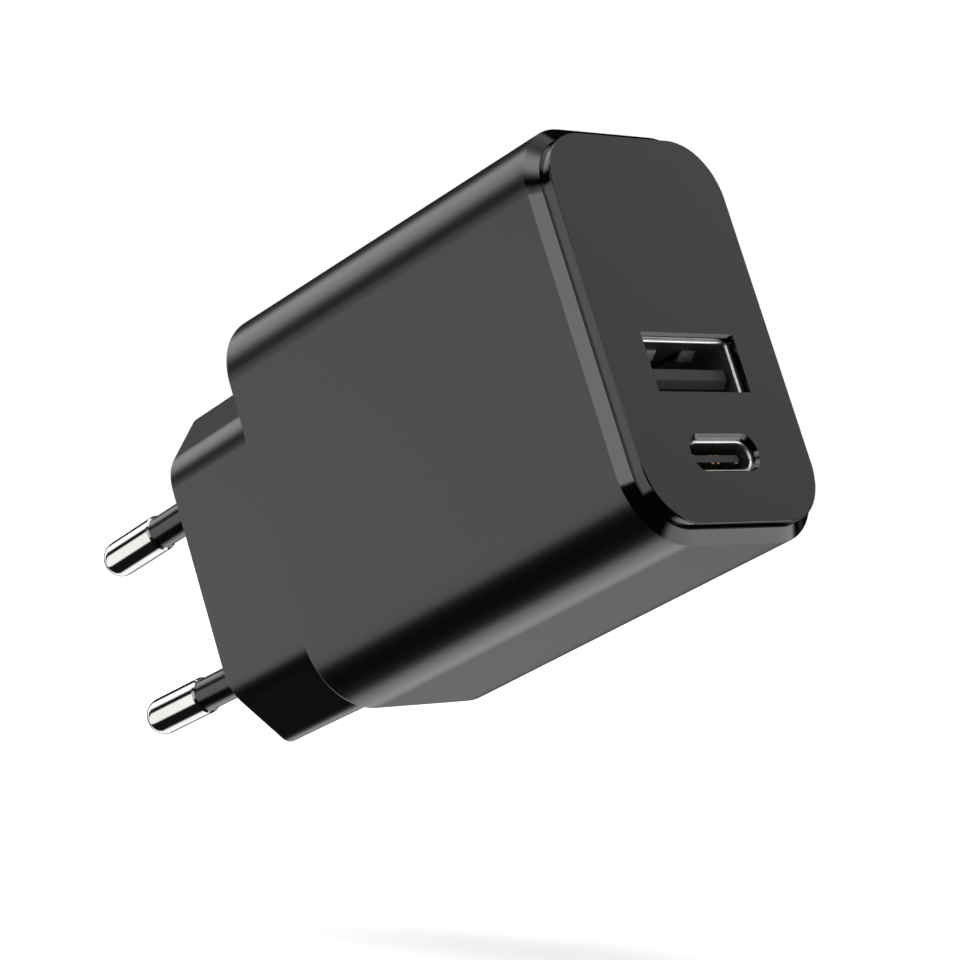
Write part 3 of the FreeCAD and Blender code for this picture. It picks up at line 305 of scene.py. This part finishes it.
give(["optocoupler", "power_switch", "bridge_rectifier", "protocol_chip", "sync_rectifier"],
     "chip_epoxy", moulded, {
         "Color": (0.012, 0.012, 0.013, 1.0), "Cloud Color": (0.02, 0.02, 0.021, 1.0),
         "Roughness": 0.5, "Unevenness": 0.25, "Cloud Count": 500.0, "Grain Count": 5000.0,
     }, relief=1.2e-5)

# ---------------------------------------------------------------- sheets by the shell
# Grey fibre card keeps the solder side of the main board off the shell. On the other side an
# aluminium plate spreads the transformer's heat, through a soft blue-grey pad.

give(["insulation_sheet"], "fibre_card", moulded, {
    "Color": (0.3, 0.31, 0.3, 1.0), "Cloud Color": (0.4, 0.41, 0.39, 1.0), "Roughness": 0.7,
    "Cloud Count": 600.0, "Grain Count": 3500.0, "Flow": 3.0,
}, relief=2e-5)
give(["heat_spreader"], "rolled_aluminium", worked_metal, {
    "Color": (0.8, 0.8, 0.81, 1.0), "Tarnish": (0.62, 0.62, 0.63, 1.0), "Roughness": 0.35,
    "Line Direction": (0.0, 0.0, 1.0), "Line Count": 5000.0, "Stain Count": 90.0,
}, relief=3e-6, Metallic=1.0)
give(["thermal_pad"], "silicone_pad", moulded, {
    "Color": (0.22, 0.3, 0.36, 1.0), "Cloud Color": (0.27, 0.35, 0.4, 1.0), "Roughness": 0.75,
    "Cloud Count": 200.0, "Grain Count": 1500.0,
}, relief=3e-5, Subsurface_Weight=0.1, Subsurface_Scale=0.001)

# ---------------------------------------------------------------- sockets
# Each socket is a nickel-plated can, the wide one folded from strip and the oval one drawn, round
# a moulded insulator whose tongue carries the contacts. The oval one's contacts are gold on both
# faces of the tongue. On the wide one's the gold is so thin that nickel shows through it.

give(["usb_a_shell", "usb_c_shell"], "folded_nickel_strip", worked_metal, {
    "Color": (0.6, 0.595, 0.59, 1.0), "Tarnish": (0.45, 0.445, 0.44, 1.0), "Roughness": 0.32,
    "Unevenness": 0.1, "Line Direction": (1.0, 0.0, 0.3), "Line Count": 7000.0,
    "Stain Count": 500.0, "Tarnish Amount": 0.4,
}, relief=6e-7, Metallic=1.0)
give(["usb_a_insulator", "usb_c_insulator"], "socket_plastic", moulded, {
    "Color": (0.016, 0.016, 0.017, 1.0), "Cloud Color": (0.022, 0.022, 0.023, 1.0),
    "Roughness": 0.4, "Cloud Count": 900.0, "Grain Count": 6000.0,
}, relief=2e-6)
give(["usb_a_contacts"], "thin_gold_over_nickel", worked_metal, {
    "Color": (0.72, 0.66, 0.55, 1.0), "Tarnish": (0.55, 0.49, 0.38, 1.0), "Roughness": 0.28,
    "Unevenness": 0.12, "Line Count": 9000.0, "Stain Count": 1500.0, "Tarnish Amount": 0.5,
}, relief=5e-7, Metallic=1.0)
give(["usb_c_contacts"], "gold_flash", worked_metal, {
    "Color": (0.95, 0.62, 0.26, 1.0), "Tarnish": (0.75, 0.42, 0.15, 1.0), "Roughness": 0.24,
    "Unevenness": 0.12, "Line Count": 9000.0, "Stain Count": 1500.0, "Tarnish Amount": 0.5,
}, relief=5e-7, Metallic=1.0)

# ---------------------------------------------------------------- shell and face plate
# The shell is one moulding in black polycarbonate with a polished skin, and the face plate is a
# second one, pressed into its bevelled rim and welded. Polished tools leave no grain: only the
# faint unevenness of moulding, in the gloss more than in the colour.

RIM_DEPTH = 0.00076                   # the bevel, from the shell's front edge backwards
RIM_ROUGHNESS = 0.07                  # bevel and plate have the higher polish
black = {"Color": (0.0007, 0.0007, 0.0007, 1.0), "Cloud Color": (0.001, 0.001, 0.001, 1.0),
         "Cloud Count": 60.0, "Grain Count": 3000.0}

give(["housing_shell"], "polished_polycarbonate", moulded, {
    **black, "Roughness": 0.26, "Unevenness": 0.03, "Rim Roughness": RIM_ROUGHNESS,
    "Rim Level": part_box("housing_shell")[0].y + RIM_DEPTH,
}, relief=2e-7)
give(["face_plate"], "plate_polycarbonate", moulded, {
    **black, "Roughness": RIM_ROUGHNESS, "Unevenness": 0.02,
}, relief=2e-7)

# ---------------------------------------------------------------- camera
# A long lens looks up at the charger from its front left, about a third of a metre away, and
# is rolled so that the charger leans.

plate_low, plate_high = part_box("face_plate")
aim = Vector(((plate_low.x + plate_high.x) / 2, plate_low.y, (plate_low.z + plate_high.z) / 2))
AZIMUTH, ELEVATION, ROLL = math.radians(48.783), math.radians(14.653), math.radians(-16.876)
AIM_RIGHT, AIM_UP, AIM_DISTANCE = 0.019082, 0.014303, 0.336781   # of the plate's middle
LENS = 135.45
CLIP_NEAR, CLIP_FAR = 0.01, 50.0

forward = Vector((math.sin(AZIMUTH) * math.cos(ELEVATION),
                  math.cos(AZIMUTH) * math.cos(ELEVATION), math.sin(ELEVATION)))
level_right = forward.cross(Vector((0, 0, 1))).normalized()
right = Matrix.Rotation(ROLL, 3, -forward) @ level_right
up = right.cross(forward)
camera = bpy.data.objects.new("camera", bpy.data.cameras.new("camera"))
camera.data.lens = LENS
camera.data.clip_start, camera.data.clip_end = CLIP_NEAR, CLIP_FAR
camera.location = aim - forward * AIM_DISTANCE - right * AIM_RIGHT - up * AIM_UP
camera.rotation_mode = "QUATERNION"
camera.rotation_quaternion = Matrix((right, up, -forward)).transposed().to_quaternion()
bpy.context.scene.collection.objects.link(camera)
bpy.context.scene.camera = camera

# ---------------------------------------------------------------- studio
# A white room with long soft panels that run beside the charger: above, to its left, below to
# its right and a weak one to its right, with dark gaps between them. Smaller ones, further
# forward, light the bevel, the roundings and the sockets' rims.

WHITE = (1.0, 1.0, 1.0, 1.0)
ROOM_GLOW = 0.012                     # the light that comes from the gaps
END_BLUR = 0.05                       # how softly a panel ends along the charger's length
PANELS = (
    # turn, half width and edge in degrees; back and front end; light
    (97, 20, 8, 1.2, -0.8, 2.1),          # above
    (178.5, 31.5, 5, 1.2, -0.3, 1.7),     # left
    (308, 22, 10, 1.2, 0.2, 1.75),        # below right
    (341, 9, 8, 1.2, -0.1, 0.37),         # right
    (326, 22, 8, -0.25, -0.78, 2.5),      # front, below right
    (40, 30, 18, -0.25, -1.2, 0.84),      # front, above right
    (132, 21, 6, -0.88, -1.2, 3.6),       # nearly straight in front, above left
    (90, 12, 6, -0.6, -0.82, 1.8),        # front, above
    (163, 22, 8, -0.3, -0.9, 0.8),        # front, left
)

world = bpy.data.worlds.new("studio")
bpy.context.scene.world = world
world.use_nodes = True
room = world.node_tree
room.nodes.clear()
# Where a ray goes, and its distance from the line that runs along the charger's length.
direction = node(room, "SeparateXYZ", {0: node(room, "TexCoord").outputs["Generated"]}).outputs
squares = [node(room, "Math", {0: direction[k], 1: direction[k]}, operation="MULTIPLY").outputs[0]
           for k in ("X", "Z")]
across = node(room, "Math", {0: squares[0], 1: squares[1]}, operation="ADD").outputs[0]
radius = node(room, "Math", {0: across, 1: 0.5}, operation="POWER").outputs[0]


def soft_step(value, low, high, top=1.0):
    """0 up to low and top beyond high, with a smooth change between them."""
    return node(room, "MapRange", {"Value": value, "From Min": low, "From Max": high,
                                   "To Max": top}, interpolation_type="SMOOTHSTEP").outputs[0]


def panel(turn, half_width, edge, back, front, light):
    """A soft panel. Its turn about the charger's length is in degrees from the right, through the
    top; back and front bound it along that length, from 1 behind to -1 in front."""
    turn, half_width, edge = (math.radians(angle) for angle in (turn, half_width, edge))
    partly = node(room, "Math", {0: direction["X"], 1: math.cos(turn)}, operation="MULTIPLY")
    cosine = node(room, "Math", {0: direction["Z"], 1: math.sin(turn), 2: partly.outputs[0]},
                  operation="MULTIPLY_ADD").outputs[0]
    share = node(room, "Math", {0: cosine, 1: radius}, operation="DIVIDE").outputs[0]
    wide = soft_step(share, math.cos(min(half_width + edge, math.pi)),
                     math.cos(max(half_width - edge, 0)), light)
    deep = node(room, "Math", {
        0: soft_step(direction["Y"], front - END_BLUR, front + END_BLUR),
        1: soft_step(direction["Y"], back + END_BLUR, back - END_BLUR)},
        operation="MULTIPLY").outputs[0]
    return node(room, "Math", {0: wide, 1: deep}, operation="MULTIPLY").outputs[0]


glow = node(room, "Value").outputs[0]
glow.default_value = ROOM_GLOW
for place in PANELS:
    glow = node(room, "Math", {0: glow, 1: panel(*place)}, operation="ADD").outputs[0]
seen = node(room, "Background", {"Color": WHITE, "Strength": 1.0})
lit = node(room, "Background", {"Color": WHITE, "Strength": glow})
ray = node(room, "LightPath").outputs["Is Camera Ray"]
both = node(room, "MixShader", {0: ray, 1: lit.outputs[0], 2: seen.outputs[0]})
node(room, "OutputWorld", {"Surface": both.outputs[0]})

# ---------------------------------------------------------------- floor
# A wide white paper floor below the charger, level with the rolled camera. It takes a faint
# shadow, glows a little so that it stays white, and is clear from below.

FLOOR_DROP, FLOOR_HALF = 0.0463, 3.0  # how far under the view's middle, and half its width
FIBRE_COUNT = 900.0
PALE_LOW, PALE_HIGH = 0.93, 0.97
PAPER_GLOW = 0.42
floor_mesh = bpy.data.meshes.new("floor")
middle = camera.location + forward * AIM_DISTANCE - up * FLOOR_DROP
corners = [middle + right * a * FLOOR_HALF + forward * b * FLOOR_HALF
           for a, b in ((-1, -1), (1, -1), (1, 1), (-1, 1))]
floor_mesh.from_pydata(corners, [], [(0, 1, 2, 3)])
floor = bpy.data.objects.new("floor", floor_mesh)
bpy.context.scene.collection.objects.link(floor)
for ray_kind in ("visible_diffuse", "visible_glossy", "visible_transmission", "visible_shadow"):
    setattr(floor, ray_kind, False)
paper = bpy.data.materials.new("white_paper")
paper.use_nodes = True
tree = paper.node_tree
tree.nodes.clear()
fibres = node(tree, "TexNoise", {"Vector": node(tree, "TexCoord").outputs["Object"],
                                 "Scale": FIBRE_COUNT, "Detail": 4.0}).outputs["Fac"]
pale = node(tree, "MapRange", {"Value": fibres, "To Min": PALE_LOW,
                               "To Max": PALE_HIGH}).outputs[0]
matt = node(tree, "BsdfDiffuse", {"Color": pale})
lift = node(tree, "Emission", {"Color": pale, "Strength": PAPER_GLOW})
bright = node(tree, "AddShader", {0: matt.outputs[0], 1: lift.outputs[0]})
clear = node(tree, "BsdfTransparent")
side = node(tree, "NewGeometry").outputs["Backfacing"]
sheet = node(tree, "MixShader", {0: side, 1: bright.outputs[0], 2: clear.outputs[0]})
node(tree, "OutputMaterial", {"Surface": sheet.outputs[0]})
floor.data.materials.append(paper)

bpy.context.scene.view_settings.view_transform = "Standard"
